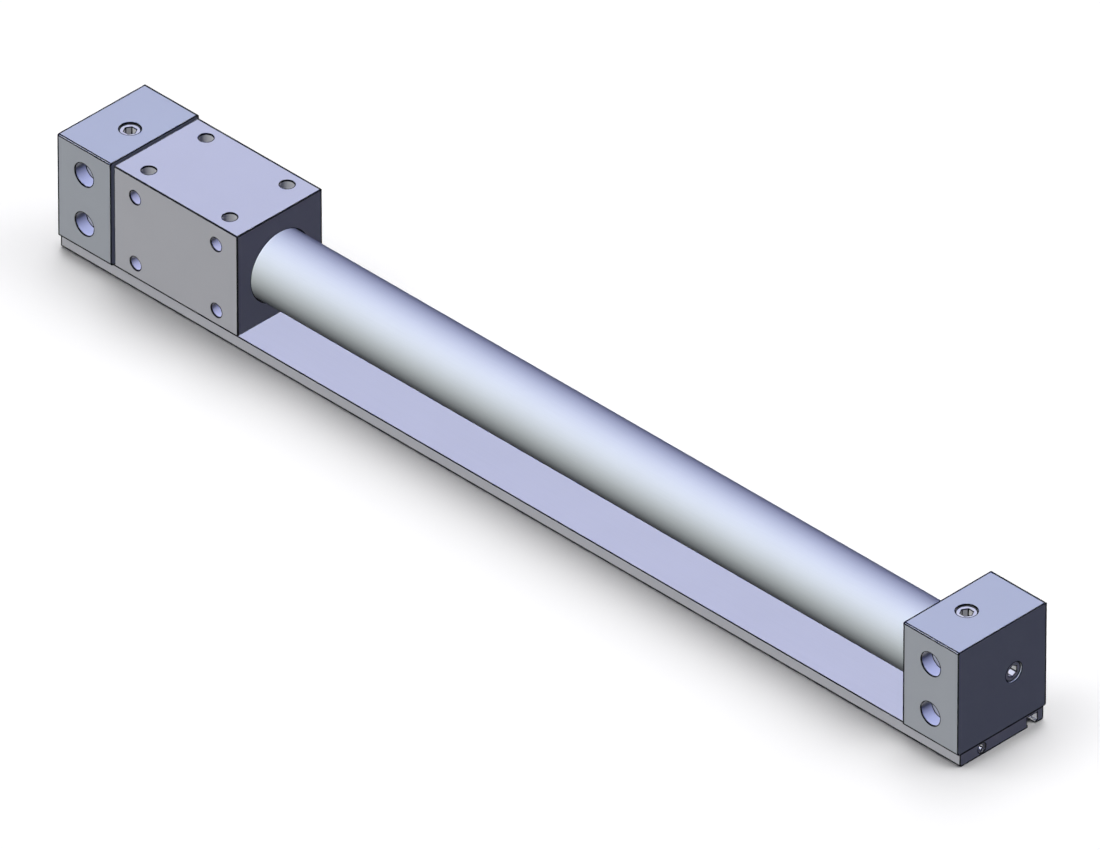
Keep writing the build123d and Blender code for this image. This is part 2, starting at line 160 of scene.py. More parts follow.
class Value:
    """A number in a material, on which plain arithmetic adds Math nodes."""

    def __init__(self, shader: Shader, socket: bpy.types.NodeSocket) -> None:
        """Wraps an output socket of one of the shader's nodes."""
        self.shader = shader
        self.socket = socket

    def __add__(self, other: Value | float) -> Value:
        """The sum."""
        return self.shader.math("ADD", self, other)

    def __sub__(self, other: Value | float) -> Value:
        """The difference."""
        return self.shader.math("SUBTRACT", self, other)

    def __rsub__(self, other: float) -> Value:
        """A number less this value."""
        return self.shader.math("SUBTRACT", other, self)

    def __mul__(self, other: Value | float) -> Value:
        """The product."""
        return self.shader.math("MULTIPLY", self, other)

    def __truediv__(self, other: Value | float) -> Value:
        """The quotient."""
        return self.shader.math("DIVIDE", self, other)

    def __abs__(self) -> Value:
        """The value without its sign."""
        return self.shader.math("ABSOLUTE", self)

    __radd__ = __add__

    def smaller(self, other: Value | float) -> Value:
        """The smaller of two."""
        return self.shader.math("MINIMUM", self, other)

    def larger(self, other: Value | float) -> Value:
        """The larger of two."""
        return self.shader.math("MAXIMUM", self, other)

    def root(self) -> Value:
        """The square root."""
        return self.shader.math("SQRT", self)

    def limited(self) -> Value:
        """The value held between 0 and 1."""
        return self.larger(0.0).smaller(1.0)


class Shader:
    """Builds the nodes of one material, or of the world."""

    def __init__(self, tree: bpy.types.NodeTree) -> None:
        """Starts from an empty tree."""
        self.tree = tree
        tree.nodes.clear()

    @classmethod
    def material(cls, name: str) -> tuple[Shader, bpy.types.Material]:
        """Makes a material and the shader that fills it.

        Args:
            name: The material's name.

        Returns:
            The shader and the material.
        """
        made = bpy.data.materials.new(name)
        made.use_nodes = True
        return cls(made.node_tree), made

    def node(
        self, kind: str, settings: dict | None = None, sockets: dict | None = None
    ) -> bpy.types.Node:
        """Adds a node.

        Args:
            kind: The node's type.
            settings: Its properties, which are set first.
            sockets: Numbers, colours, values or sockets for its inputs.

        Returns:
            The node.
        """
        made = self.tree.nodes.new(kind)
        for name, setting in (settings or {}).items():
            setattr(made, name, setting)
        for key, given in (sockets or {}).items():
            source = given.socket if isinstance(given, Value) else given
            if isinstance(source, bpy.types.NodeSocket):
                self.tree.links.new(source, made.inputs[key])
            else:
                made.inputs[key].default_value = source
        return made

    def math(self, operation: str, *operands: Value | float) -> Value:
        """Adds a Math node.

        Args:
            operation: What it does with its operands.
            operands: Values or plain numbers.

        Returns:
            The result.
        """
        made = self.node("ShaderNodeMath", {"operation": operation}, dict(enumerate(operands)))
        return Value(self, made.outputs[0])

    def place(self) -> tuple[Value, Value, Value]:
        """Finds the surface point in the frame.

        Returns:
            Its coordinates in millimetres.
        """
        where = self.node("ShaderNodeTexCoord").outputs["Object"]
        parts = self.node("ShaderNodeSeparateXYZ", None, {0: where}).outputs
        return tuple(Value(self, part) * (1 / MM) for part in parts)

    def noise(self, size_mm: tuple[float, float, float], detail: float = 2.0) -> Value:
        """Noise from 0 to 1.

        Args:
            size_mm: The size of its features along X, Y and Z.
            detail: How much finer noise is added.

        Returns:
            The noise.
        """
        where = self.node("ShaderNodeTexCoord").outputs["Object"]
        scale = tuple(1 / (size * MM) for size in size_mm)
        mapped = self.node("ShaderNodeMapping", None, {"Vector": where, "Scale": scale})
        sockets = {"Vector": mapped.outputs[0], "Scale": 1.0, "Detail": detail}
        return Value(self, self.node("ShaderNodeTexNoise", None, sockets).outputs[0])

    def blend(
        self, share: Value, first: Colour | bpy.types.NodeSocket, second: Colour
    ) -> bpy.types.NodeSocket:
        """Blends two colours.

        Args:
            share: How much of the second colour shows, from 0 to 1.
            first: The colour, or colour socket, at 0.
            second: The colour at 1.

        Returns:
            The colour socket.
        """
        given = first if isinstance(first, bpy.types.NodeSocket) else (*first, 1.0)
        made = self.node(
            "ShaderNodeMix", {"data_type": "RGBA"}, {0: share, 6: given, 7: (*second, 1.0)}
        )
        return made.outputs[2]

    def bump(self, height: Value, depth_mm: float) -> bpy.types.NodeSocket:
        """Turns a height from 0 to 1 into a normal.

        Args:
            height: The height.
            depth_mm: The depth from the lowest point to the highest.

        Returns:
            The normal's socket.
        """
        made = self.node("ShaderNodeBump", None, {"Distance": depth_mm * MM, "Height": height})
        return made.outputs[0]

    def finish(self, sockets: dict) -> None:
        """Ends a material with its Principled shader.

        Args:
            sockets: The shader's inputs.
        """
        body = self.node("ShaderNodeBsdfPrincipled", None, sockets)
        self.node("ShaderNodeOutputMaterial", None, {"Surface": body.outputs[0]})


@dataclass(frozen=True)
class Rim:
    """The sharp rim of one round hole, or of two or four set out evenly.

    Places and sizes are in millimetres. The pitches belong to the two directions
    across the hole's axis, and are 0 where there is only one hole. Wide is how far the
    dark line reaches from the rim on the face, and down is how far it reaches down the
    hole's wall.
    """

    axis: Axis
    centre: tuple[float, float, float]
    radius: float
    pitch: tuple[float, float] = (0.0, 0.0)
    wide: float = Stroke.RIM
    # Down the hole's wall the dark line is painted shade.
    down: float = Down.AS_WIDE

    def outside(self, place: tuple[Value, Value, Value]) -> Value:
        """How far a point lies outside the nearest hole's radius, below 0 within it.

        Args:
            place: The point's coordinates.

        Returns:
            The distance in millimetres.
        """
        legs = []
        for pitch, index in zip(self.pitch, self.axis.across):
            leg = place[index] - self.centre[index]
            if pitch:
                leg = abs(leg) - pitch / 2
            legs.append(leg)
        return (legs[0] * legs[0] + legs[1] * legs[1]).root() - self.radius

    def along(self, place: tuple[Value, Value, Value]) -> Value:
        """How far a point lies along the axis from the rim, in millimetres."""
        return place[self.axis.value] - self.centre[self.axis.value]

    def distance(self, place: tuple[Value, Value, Value]) -> Value:
        """How far a surface point lies from the rim.

        Args:
            place: The point's coordinates.

        Returns:
            The distance in millimetres, where the way down the wall is scaled to its reach.
        """
        across = self.outside(place)
        along = self.along(place)
        if self.down:
            along = along * (self.wide / self.down)
        return (across * across + along * along).root()


@dataclass(frozen=True)
class PaintedHighlightBore:
    """The walls behind a rim, where violet is a painted highlight of a blue lamp. Sizes in
    millimetres.
    """

    rim: Rim
    deep: float
    colour: Colour
    blur: float = 0.05

    def inside(self, place: tuple[Value, Value, Value]) -> Value:
        """1 on the bore's wall and floor, where the highlight is painted, and 0 elsewhere.

        Args:
            place: The surface point's coordinates.

        Returns:
            The share.
        """
        within = ((2 * self.blur - self.rim.outside(place)) / self.blur).limited()
        above_floor = ((self.deep + 2 * self.blur - self.rim.along(place)) / self.blur).limited()
        return within * above_floor


@dataclass(frozen=True)
class Line:
    """One straight edge along an axis, by its two places across it in millimetres."""

    axis: Axis
    places: tuple[float, float]
    wide: float

    def distance(self, place: tuple[Value, Value, Value]) -> Value:
        """How far a surface point lies from the edge.

        Args:
            place: The point's coordinates.

        Returns:
            The distance in millimetres.
        """
        first, second = self.axis.across
        return abs(place[first] - self.places[0]).larger(abs(place[second] - self.places[1]))


@dataclass(frozen=True)
class Block:
    """The straight edges of a block, between its lowest and highest corner in millimetres.

    The chamfers are those of the edges along X, Y and Z. A chamfered edge has a line at
    each side of its chamfer. Wide is how far a line reaches from its edge.
    """

    low: tuple[float, float, float]
    high: tuple[float, float, float]
    chamfers: tuple[float, float, float] = (0.0, 0.0, 0.0)
    wide: float = Stroke.EDGE

    @classmethod
    def of(
        cls,
        node: str,
        chamfers: tuple[float, float, float] = (0.0, 0.0, 0.0),
        wide: float = Stroke.EDGE,
    ) -> Block:
        """The block that a piece of the frame fills.

        Args:
            node: The piece.
            chamfers: The chamfers of its edges along X, Y and Z.
            wide: How far a line reaches from its edge.

        Returns:
            The block.
        """
        low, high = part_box(node)
        return cls(tuple(low / MM), tuple(high / MM), chamfers, wide)

    def distance(self, place: tuple[Value, Value, Value]) -> Value:
        """How far a surface point lies from the nearest edge.

        Args:
            place: The point's coordinates.

        Returns:
            The distance in millimetres.
        """
        near = []
        for value, low, high in zip(place, self.low, self.high):
            near.append((value - low).smaller(high - value))
        lines = []
        for axis in Axis:
            first, second = axis.across
            chamfer = self.chamfers[axis.value]
            reach = near[first].larger(near[second]) - chamfer
            lines.append(reach.larger(reach * (-BRIGHT_SIDE if chamfer > BRIGHT_CHAMFER else -1.0)))
        return lines[0].smaller(lines[1]).smaller(lines[2])


@dataclass(frozen=True)
class Hexagon:
    """The edges of a hexagon socket with two flats facing along Y. Sizes in millimetres."""

    axis: Axis
    centre: tuple[float, float, float]
    across_flats: float
    wide: float

    def distance(self, place: tuple[Value, Value, Value]) -> Value:
        """How far a surface point lies from the socket's rim and from its six corners.

        Args:
            place: The point's coordinates.

        Returns:
            The distance in millimetres.
        """
        other = 0 if self.axis is Axis.Z else 2
        flat = abs(place[1] - self.centre[1])
        corner = abs(place[other] - self.centre[other])
        slant = flat * 0.5 + corner * (math.sqrt(3) / 2)
        outline = abs(flat.larger(slant) - self.across_flats / 2)
        along = abs(place[self.axis.value] - self.centre[self.axis.value])
        return outline.larger(along.smaller(flat).smaller(abs(flat - slant)))


@dataclass(frozen=True)
class Slot:
    """The edges of the rail's slot, along it and round its two ends.

    Sizes are in millimetres. Wide is how far a line reaches from the slot's outline on
    the rail's ends, wide_along how far it reaches from an edge that runs along the
    slot, and wide_below_top how far it reaches down from the slot's top.
    """

    ends: tuple[float, float]
    middle_y: float
    mouth_wide: float
    inner_wide: float
    lip: float
    deep: float
    wide: float = Stroke.SLOT_END
    wide_along: float = Stroke.SLOT_RUN
    wide_below_top: float = Down.SLOT_TOP

    def box(
        self, place: tuple[Value, Value, Value], across_y: float, low: float, high: float
    ) -> Value:
        """How far outside one rectangle of the slot a point lies, below 0 inside.

        Args:
            place: The point's coordinates.
            across_y: The rectangle's width.
            low: Its lower side.
            high: Its upper side.

        Returns:
            The distance in millimetres.
        """
        across = abs(place[1] - self.middle_y) - across_y / 2
        up = abs(place[2] - (low + high) / 2) - (high - low) / 2
        return across.larger(up)

    def distance(self, place: tuple[Value, Value, Value]) -> Value:
        """How far a surface point lies from the nearest edge of the slot.

        Args:
            place: The point's coordinates.

        Returns:
            The distance in millimetres.
        """
        mouth = self.box(place, self.mouth_wide, -self.lip, self.lip)
        inner = self.box(place, self.inner_wide, self.lip, self.deep)
        from_end = abs(place[0] - self.ends[0]).smaller(abs(place[0] - self.ends[1]))
        outline = abs(mouth.smaller(inner)).larger(from_end)
        from_middle = abs(place[1] - self.middle_y)
        from_lip = abs(place[2] - self.lip)
        from_top = abs(place[2] - self.deep) * (self.wide_along / self.wide_below_top)
        mouth_edges = abs(from_middle - self.mouth_wide / 2).larger(from_lip.smaller(abs(place[2])))
        inner_edges = abs(from_middle - self.inner_wide / 2).larger(from_lip.smaller(from_top))
        along = mouth_edges.smaller(inner_edges) * (self.wide / self.wide_along)
        return outline.smaller(along)


Edges = tuple[Rim | Line | Block | Hexagon | Slot, ...]


@dataclass(frozen=True)
class Finish:
    """A finish, as its colour, its gloss, and the fine marks of how it was worked."""

    name: str
    colour: Colour
    roughness: float = 0.5
    metallic: float = 0.0
    specular: float = 0.02
    grain: Grain = Grain.BLASTED
    grain_mm: float = 0.35
    grain_depth_mm: float = 0.004
    grain_detail: float = 3.0
    tone: float = 0.03
    cloud_mm: float = 28.0
    edge_shade: float = 0.03

    def material(
        self, edges: Edges = (), suffix: str = "", bore: PaintedHighlightBore | None = None
    ) -> bpy.types.Material:
        """Makes the finish's material.

        Args:
            edges: The sharp edges of the piece, painted as dark lines, and as painted shade down
                hole walls.
            suffix: Ends the name, where several pieces have their own edges.
            bore: Holes whose walls take a painted violet highlight.

        Returns:
            The material.
        """
        shader, made = Shader.material(self.name + suffix)
        stretch = self.grain.value
        fine = shader.noise(tuple(self.grain_mm * part for part in stretch), self.grain_detail)
        cloud = shader.noise((self.cloud_mm, self.cloud_mm, self.cloud_mm))
        light = tuple(min(1.0, part * (1 + self.tone)) for part in self.colour)
        dark = tuple(part * (1 - self.tone) for part in self.colour)
        share = (fine * FINE_SHARE + cloud * CLOUD_SHARE - NOISE_LOW) * (1 / NOISE_SPAN)
        colour = shader.blend(share, dark, light)
        roughness = self.roughness + (cloud - NOISE_MIDDLE) * CLOUD_GLOSS
        roughness = roughness + (fine - NOISE_MIDDLE) * FINE_GLOSS
        if edges:
            place = shader.place()
            if bore:
                # Paints the violet highlight onto the counterbores' walls.
                colour = shader.blend(bore.inside(place), colour, bore.colour)
            nearest = edges[0].distance(place) / edges[0].wide
            for edge in edges[1:]:
                nearest = nearest.smaller(edge.distance(place) / edge.wide)
            # Dark lines along the edges, which down the walls of holes are painted shade.
            line = ((1 - nearest) / LINE_FADE).limited()
            shade = tuple(part * self.edge_shade for part in self.colour)
            colour = shader.blend(line, colour, shade)
        shader.finish(
            {
                "Base Color": colour,
                "Roughness": roughness,
                "Metallic": self.metallic,
                "Specular IOR Level": self.specular,
                "Normal": shader.bump(fine, self.grain_depth_mm),
            }
        )
        return made


@dataclass(frozen=True)
class Thread:
    """The ridge of an internal thread, in millimetres.

    The shares are half the ridge's width at its root and at its crest, as shares of
    the pitch. Steps are the faces of one turn.
    """

    root_r: float
    crest_r: float
    pitch: float
    length: float
    root_share: float = 0.42
    crest_share: float = 0.1
    steps: int = 28

    def cut(
        self, mesh: bmesh.types.BMesh, mouth: tuple[float, float, float], inward: Vector
    ) -> None:
        """Adds the ridge along the wall of one hole.

        Args:
            mesh: The mesh that takes it.
            mouth: The centre of the hole's mouth.
            inward: The direction into the hole.
        """
        own = bmesh.new()
        half_root = self.pitch * self.root_share
        half_crest = self.pitch * self.crest_share
        corners = (
            (self.root_r, 0.0),
            (self.crest_r, half_root - half_crest),
            (self.crest_r, half_root + half_crest),
            (self.root_r, 2 * half_root),
        )
        ridge = own.faces.new([own.verts.new((r, 0.0, h)) for r, h in corners])
        turns = (self.length - 2 * half_root) / self.pitch
        steps = round(self.steps * turns)
        bmesh.ops.spin(
            own,
            geom=[ridge, *ridge.edges, *ridge.verts],
            cent=(0, 0, 0),
            axis=(0, 0, 1),
            dvec=(0, 0, self.pitch / self.steps),
            angle=2 * math.pi * steps / self.steps,
            steps=steps,
            use_merge=False,
        )
        bmesh.ops.recalc_face_normals(own, faces=own.faces)
        turn = Vector((0, 0, 1)).rotation_difference(inward).to_matrix().to_4x4()
        bmesh.ops.transform(
            own,
            matrix=Matrix.Translation(Vector(mouth) * MM) @ turn @ Matrix.Scale(MM, 4),
            verts=own.verts,
        )
        join(mesh, own)


def join(target: bmesh.types.BMesh, source: bmesh.types.BMesh) -> None:
    """Moves one mesh into another.

    Args:
        target: The mesh that grows.
        source: The mesh that is used up.
    """
    carrier = bpy.data.meshes.new("carrier")
    source.to_mesh(carrier)
    source.free()
    target.from_mesh(carrier)
    bpy.data.meshes.remove(carrier)


def piece(
    name: str, mesh: bmesh.types.BMesh, body: str, look: bpy.types.Material
) -> None:
    """Makes a finished piece that moves with a body.

    Args:
        name: The piece's name.
        mesh: Its shape, which is used up.
        body: The body that it rides on.
        look: Its material.
    """
    data = bpy.data.meshes.new(name)
    mesh.to_mesh(data)
    mesh.free()
    data.materials.append(look)
    made = bpy.data.objects.new(name, data)
    bpy.context.scene.collection.objects.link(made)
    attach(made, body)
    log.info("%s: %d faces on %s", name, len(data.polygons), body)


@dataclass
class Assembly:
    """Pieces of the frame that are dressed together."""

    nodes: dict[str, bpy.types.Object]

    def dress(self, prefix: str, look: bpy.types.Material) -> None:
        """Gives a material to each piece whose name begins so.

        Args:
            prefix: The start of the names.
            look: The material.
        """
        for name in sorted(self.nodes):
            if name.startswith(prefix):
                self.nodes[name].data.materials.clear()
                self.nodes[name].data.materials.append(look)
                log.info("%s: %s", name, look.name)


ANODISED_BLOCK = Finish("anodised_block", (0.60, 0.605, 0.615), roughness=0.5)
# The front threads' bluer colour is a painted violet highlight of a blue lamp.
VIOLET_HIGHLIGHT_THREAD = Finish("violet_highlight_thread", (0.57, 0.575, 0.70), roughness=0.5)
ANODISED_HEAD = Finish("anodised_head", (0.52, 0.55, 0.57), roughness=0.5)
ANODISED_RAIL = Finish("anodised_rail", (0.61, 0.615, 0.625), roughness=0.48, grain=Grain.DRAWN)
POLISHED_TUBE = Finish(
    "polished_tube",
    (0.68, 0.738, 0.742),
    roughness=0.4,
    specular=0.0,
    grain=Grain.DRAWN,
    grain_mm=0.3,
    grain_depth_mm=0.002,
)
TURNED_ALLOY = Finish("turned_alloy", (0.60, 0.61, 0.62), roughness=0.4, metallic=0.5, grain_mm=0.2)
PLATED_PLUG = Finish("plated_plug", (0.69, 0.69, 0.67), roughness=0.4, grain_mm=0.2)
BLACK_SCREW = Finish("black_screw", (0.05, 0.05, 0.055), roughness=0.45, metallic=0.5, grain_mm=0.2)
GROUND_STEEL = Finish(
    "ground_steel", (0.60, 0.60, 0.61), roughness=0.3, metallic=0.8, grain=Grain.DRAWN
)
ROLLED_YOKE = Finish("rolled_yoke", (0.40, 0.40, 0.41), roughness=0.45, metallic=0.7)
SPRING_STEEL = Finish("spring_steel", (0.09, 0.09, 0.10), roughness=0.4, metallic=0.6)
PLATED_MAGNET = Finish("plated_magnet", (0.66, 0.65, 0.62), roughness=0.3, metallic=0.9)
NITRILE = Finish("nitrile", (0.025, 0.025, 0.027), roughness=0.6, grain=Grain.MOULDED)
URETHANE = Finish("urethane", (0.45, 0.38, 0.20), roughness=0.45, grain=Grain.MOULDED)
FILLED_RESIN = Finish(
    "filled_resin", (0.20, 0.14, 0.09), roughness=0.55, grain=Grain.MOULDED, tone=0.15
)
OILED_FELT = Finish(
    "oiled_felt", (0.52, 0.49, 0.40), roughness=0.9, grain=Grain.FIBROUS, grain_depth_mm=0.05
)
# A painted highlight: the violet gloss of a blue lamp on the counterbore walls.
PAINTED_VIOLET_HIGHLIGHT: Colour = (0.53, 0.555, 0.67)


@dataclass
class Heads(Assembly):
    """The two end heads with their counterbores, ports and plugs. Sizes in millimetres."""

    mount_r: float = 3.3
    counterbore_r: float = 5.7
    mount_pitch: float = 25.7
    mount_z: float = 33.35
    port_r: float = 4.86
    port_z: float = 33.3
    top_port_in: float = 19.4
    top_port_y: float = -1.9
    end_port_y: float = 7.05
    feed_port_y: float = -9.5
    plug_hex: float = 5.0
    plug_recess: float = 0.9
    passage_plug_hex: float = 2.5
    counterbore_deep: float = 6.7
    chamfer: float = 0.5
    thread: Thread = Thread(root_r=4.88, crest_r=4.4, pitch=0.907, length=6.6)

    def look(self, side: int) -> bpy.types.Material:
        """The material of one head.

        Args:
            side: -1 for the left head, 1 for the right one.

        Returns:
            The material.
        """
        word = "left" if side < 0 else "right"
        block = Block.of("head_" + word, (self.chamfer, 0.0, 0.0))
        low, high = block.low, block.high
        outer, inner = (high[0], low[0]) if side > 0 else (low[0], high[0])
        middle = (low[0] + high[0]) / 2
        seat = low[1] + self.counterbore_deep
        pitch = (0.0, self.mount_pitch)
        front, behind, back = ((middle, y, self.mount_z) for y in (low[1], seat, high[1]))
        mouths = Rim(Axis.Y, front, self.counterbore_r, pitch, Stroke.MOUTH, Down.COUNTERBORE)
        top_port = (outer - side * self.top_port_in, self.top_port_y, high[2])
        end_port = (outer, self.end_port_y, self.port_z)
        found = [
            block,
            Line(Axis.X, (high[1] - self.chamfer, high[2]), Stroke.BACK_EDGE),
            Line(Axis.Y, (low[0], high[2]), Stroke.CORNER),
            Line(Axis.Z, (low[0], low[1]), Stroke.HEAD_LEFT_CORNER),
            Line(Axis.Z, (high[0], high[1]), Stroke.HEAD_RIGHT_CORNER),
            Line(Axis.X, (low[1], low[2] + self.chamfer), Stroke.SEAM),
            mouths,
            Rim(Axis.Y, behind, self.counterbore_r, pitch, Stroke.SEAT),
            Rim(Axis.Y, behind, self.mount_r, pitch, Stroke.SEAT),
            Rim(Axis.Y, back, self.mount_r, pitch),
            Rim(Axis.Z, top_port, self.port_r, down=Down.TOP_PORT),
            Rim(Axis.X, end_port, self.port_r, down=Down.END_PORT),
            Rim(Axis.X, (inner, 0.0, TUBE_Z), TUBE_R),
        ]
        if side < 0:
            feed_port = (outer, self.feed_port_y, self.port_z)
            found.append(Rim(Axis.X, feed_port, self.port_r, down=Down.END_PORT))
        else:
            seated = (outer - self.plug_recess, self.end_port_y, self.port_z)
            found.append(Rim(Axis.X, seated, self.port_r, wide=Stroke.SOCKET))
        # The counterbore walls get a painted violet highlight.
        bore = PaintedHighlightBore(mouths, self.counterbore_deep, PAINTED_VIOLET_HIGHLIGHT)
        return ANODISED_HEAD.material(tuple(found), "_" + word, bore)

    def dress_plug(self, name: str, axis: Axis, side: int, flats: float) -> None:
        """Gives one plug its material.

        Args:
            name: The plug.
            axis: The direction of the plug.
            side: 1 where its face is its highest end, -1 where it is its lowest.
            flats: The width across its socket's flats.
        """
        low, high = (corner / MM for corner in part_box(name))
        face = (low + high) / 2
        face[axis.value] = (high if side > 0 else low)[axis.value]
        radius = (high - low)[axis.across[0]] / 2
        big = flats == self.plug_hex
        edges = (
            Rim(axis, tuple(face), radius, wide=Stroke.PLUG if big else Stroke.SOCKET),
            Hexagon(axis, tuple(face), flats, Stroke.RIM if big else Stroke.SOCKET),
        )
        self.dress(name, PLATED_PLUG.material(edges, "_" + name))

    def cut_threads(self) -> None:
        """Cuts the threads of the open ports."""
        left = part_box("head_left")[0] / MM
        open_ports = bmesh.new()
        for y in (self.end_port_y, self.feed_port_y):
            self.thread.cut(open_ports, (left.x, y, self.port_z), Vector((1, 0, 0)))
        look = ANODISED_HEAD.material(suffix="_threads")
        piece("port_threads_left", open_ports, "cylinder", look)

    def build(self) -> None:
        """Dresses the heads and what is screwed into them."""
        self.dress("head_left", self.look(-1))
        self.dress("head_right", self.look(1))
        self.dress_plug("end_plug_right", Axis.X, 1, self.plug_hex)
        for word, side in (("left", -1), ("right", 1)):
            self.dress_plug("top_plug_" + word, Axis.Z, 1, self.plug_hex)
            self.dress_plug("passage_plug_" + word, Axis.X, side, self.passage_plug_hex)
        self.dress("tube_seal", NITRILE.material())
        self.dress("riser_seal", NITRILE.material(suffix="_riser"))
        self.dress("bumper", URETHANE.material())
        self.cut_threads()


@dataclass
class RailAndTube(Assembly):
    """The switch rail, its screws and the tube. Sizes in millimetres."""

    passage_y: float = -11.9
    passage_z: float = 3.4
    passage_r: float = 2.45
    slot_y: float = 18.3
    slot_mouth: float = 5.0
    slot_wide: float = 6.3
    slot_lip: float = 1.2
    slot_deep: float = 5.1
    chamfer: float = 0.5

    def build(self) -> None:
        """Dresses the rail, its screws and the tube."""
        rail = Block.of("switch_rail")
        low, high = rail.low, rail.high
        over_chamfer = [
            Line(Axis.X, (y, self.chamfer), Stroke.RAIL_EDGE) for y in (low[1], high[1])
        ]
        against_floor = [
            Line(Axis.Z, (low[0], low[1]), Stroke.SEAM),
            Line(Axis.Z, (high[0], high[1]), Stroke.SEAM),
            Line(Axis.Y, (high[0], low[2]), Stroke.SEAM),
        ]
        mouths = [
            Rim(Axis.X, (x, self.passage_y, self.passage_z), self.passage_r, down=Down.PASSAGE)
            for x in (low[0], high[0])
        ]
        slot = Slot(
            (low[0], high[0]),
            self.slot_y,
            self.slot_mouth,
            self.slot_wide,
            self.slot_lip,
            self.slot_deep,
        )
        edges = (rail, *against_floor, *over_chamfer, slot, *mouths)
        self.dress("switch_rail", ANODISED_RAIL.material(edges))
        self.dress("cylinder_tube", POLISHED_TUBE.material())
        self.dress("rail_screw", BLACK_SCREW.material())


@dataclass
class Slider(Assembly):
    """The slider with its tapped holes, bushes and magnets. Sizes in millimetres."""

    tap_r: float = 3.32
    tap_pitch_x: float = 49.5
    tap_pitch_across: float = 34.5
    hole_r: float = 17.5
    bore_r: float = 21.5
    chamfer: float = 0.4
    top_thread: Thread = Thread(root_r=3.34, crest_r=3.29, pitch=1.25, length=6.2)
    front_thread: Thread = Thread(root_r=3.34, crest_r=3.29, pitch=1.25, length=7.0)

    def tap_rim(self, axis: Axis) -> Rim:
        """The rims of the four taps that run along one axis.

        Args:
            axis: Z for the taps on top and Y for those on the front.

        Returns:
            The rims.
        """
        low, high = (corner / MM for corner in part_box("slider_block"))
        centre = [(low[0] + high[0]) / 2, 0.0, TUBE_Z]
        centre[axis.value] = high[2] if axis is Axis.Z else low[1]
        pitch = (self.tap_pitch_x, self.tap_pitch_across)
        return Rim(axis, tuple(centre), self.tap_r, pitch, Stroke.TAP, Down.TAP)

    def edges(self) -> Edges:
        """Lists the sharp edges of the slider's block.

        Returns:
            The edges.
        """
        chamfers = (self.chamfer, self.chamfer, self.chamfer)
        block = Block.of("slider_block", chamfers, Stroke.CHAMFER)
        low, high = block.low, block.high
        return (
            block,
            Line(Axis.X, (high[1] - self.chamfer, high[2]), Stroke.BACK_EDGE),
            Line(Axis.Z, (high[0], high[1] - self.chamfer), Stroke.CORNER),
            self.tap_rim(Axis.Z),
            self.tap_rim(Axis.Y),
            Rim(Axis.X, (high[0], 0.0, TUBE_Z), self.hole_r, down=Down.RUNNING_HOLE),
            Rim(Axis.X, (low[0], 0.0, TUBE_Z), self.bore_r),
        )

    def cut_threads(self) -> None:
        """Cuts the threads of the eight tapped holes."""
        block = Block.of("slider_block")
        x = (block.low[0] + block.high[0]) / 2
        top, front = bmesh.new(), bmesh.new()
        for dx in (-self.tap_pitch_x / 2, self.tap_pitch_x / 2):
            for across in (-self.tap_pitch_across / 2, self.tap_pitch_across / 2):
                mouth = (x + dx, across, block.high[2])
                self.top_thread.cut(top, mouth, Vector((0, 0, -1)))
                mouth = (x + dx, block.low[1], TUBE_Z + across)
                self.front_thread.cut(front, mouth, Vector((0, 1, 0)))
        look = ANODISED_BLOCK.material((self.tap_rim(Axis.Z),), "_threads_top")
        piece("tap_threads_top", top, "slider", look)
        # The front threads take a painted violet highlight.
        look = VIOLET_HIGHLIGHT_THREAD.material((self.tap_rim(Axis.Y),), "_front")
        piece("tap_threads_front", front, "slider", look)

    def build(self) -> None:
        """Dresses the slider and the rings in it."""
        self.dress("slider_block", ANODISED_BLOCK.material(self.edges()))
        self.dress("slider_cover", TURNED_ALLOY.material())
        self.dress("retaining_ring", SPRING_STEEL.material())
        self.dress("slider_bearing", FILLED_RESIN.material())
        self.dress("grease_felt", OILED_FELT.material())
        self.dress("scraper", NITRILE.material(suffix="_scraper"))
        self.dress("outer_yoke", ROLLED_YOKE.material())
        self.dress("outer_magnet", PLATED_MAGNET.material())
        self.dress("switch_magnet", PLATED_MAGNET.material(suffix="_switch"))
        self.cut_threads()


@dataclass
class Piston(Assembly):
    """The piston and the inner half of the magnetic coupling."""

    def build(self) -> None:
        """Dresses the piston's pieces."""
        self.dress("piston_end", TURNED_ALLOY.material(suffix="_piston"))
        self.dress("piston_seal", NITRILE.material(suffix="_piston"))
        self.dress("piston_wear_ring", FILLED_RESIN.material(suffix="_piston"))
        self.dress("piston_nut", BLACK_SCREW.material(suffix="_nut"))
        self.dress("piston_shaft", GROUND_STEEL.material())
        self.dress("inner_yoke", ROLLED_YOKE.material(suffix="_inner"))
        self.dress("inner_magnet", PLATED_MAGNET.material(suffix="_inner"))


class Shines(Enum):
    """What a lamp shines on: only the things in its list, or all but those."""

    ALL = ("EXCLUDE", ("floor",))
    BLOCKS = ("EXCLUDE", ("floor", "cylinder_tube"))
    TUBE = ("INCLUDE", ("cylinder_tube",))
    FLOOR = ("INCLUDE", ("floor",))

    def on(self, name: str, things: dict[str, bpy.types.Object]) -> bpy.types.Collection:
        """Makes the collection that says what a lamp shines on.

        Args:
            name: The collection's name.
            things: The floor and the pieces of the frame.

        Returns:
            The collection.
        """
        state, listed = self.value
        made = bpy.data.collections.new(name)
        for thing in listed:
            made.objects.link(things[thing])
        for member in made.collection_objects:
            member.light_linking.link_state = state
        return made


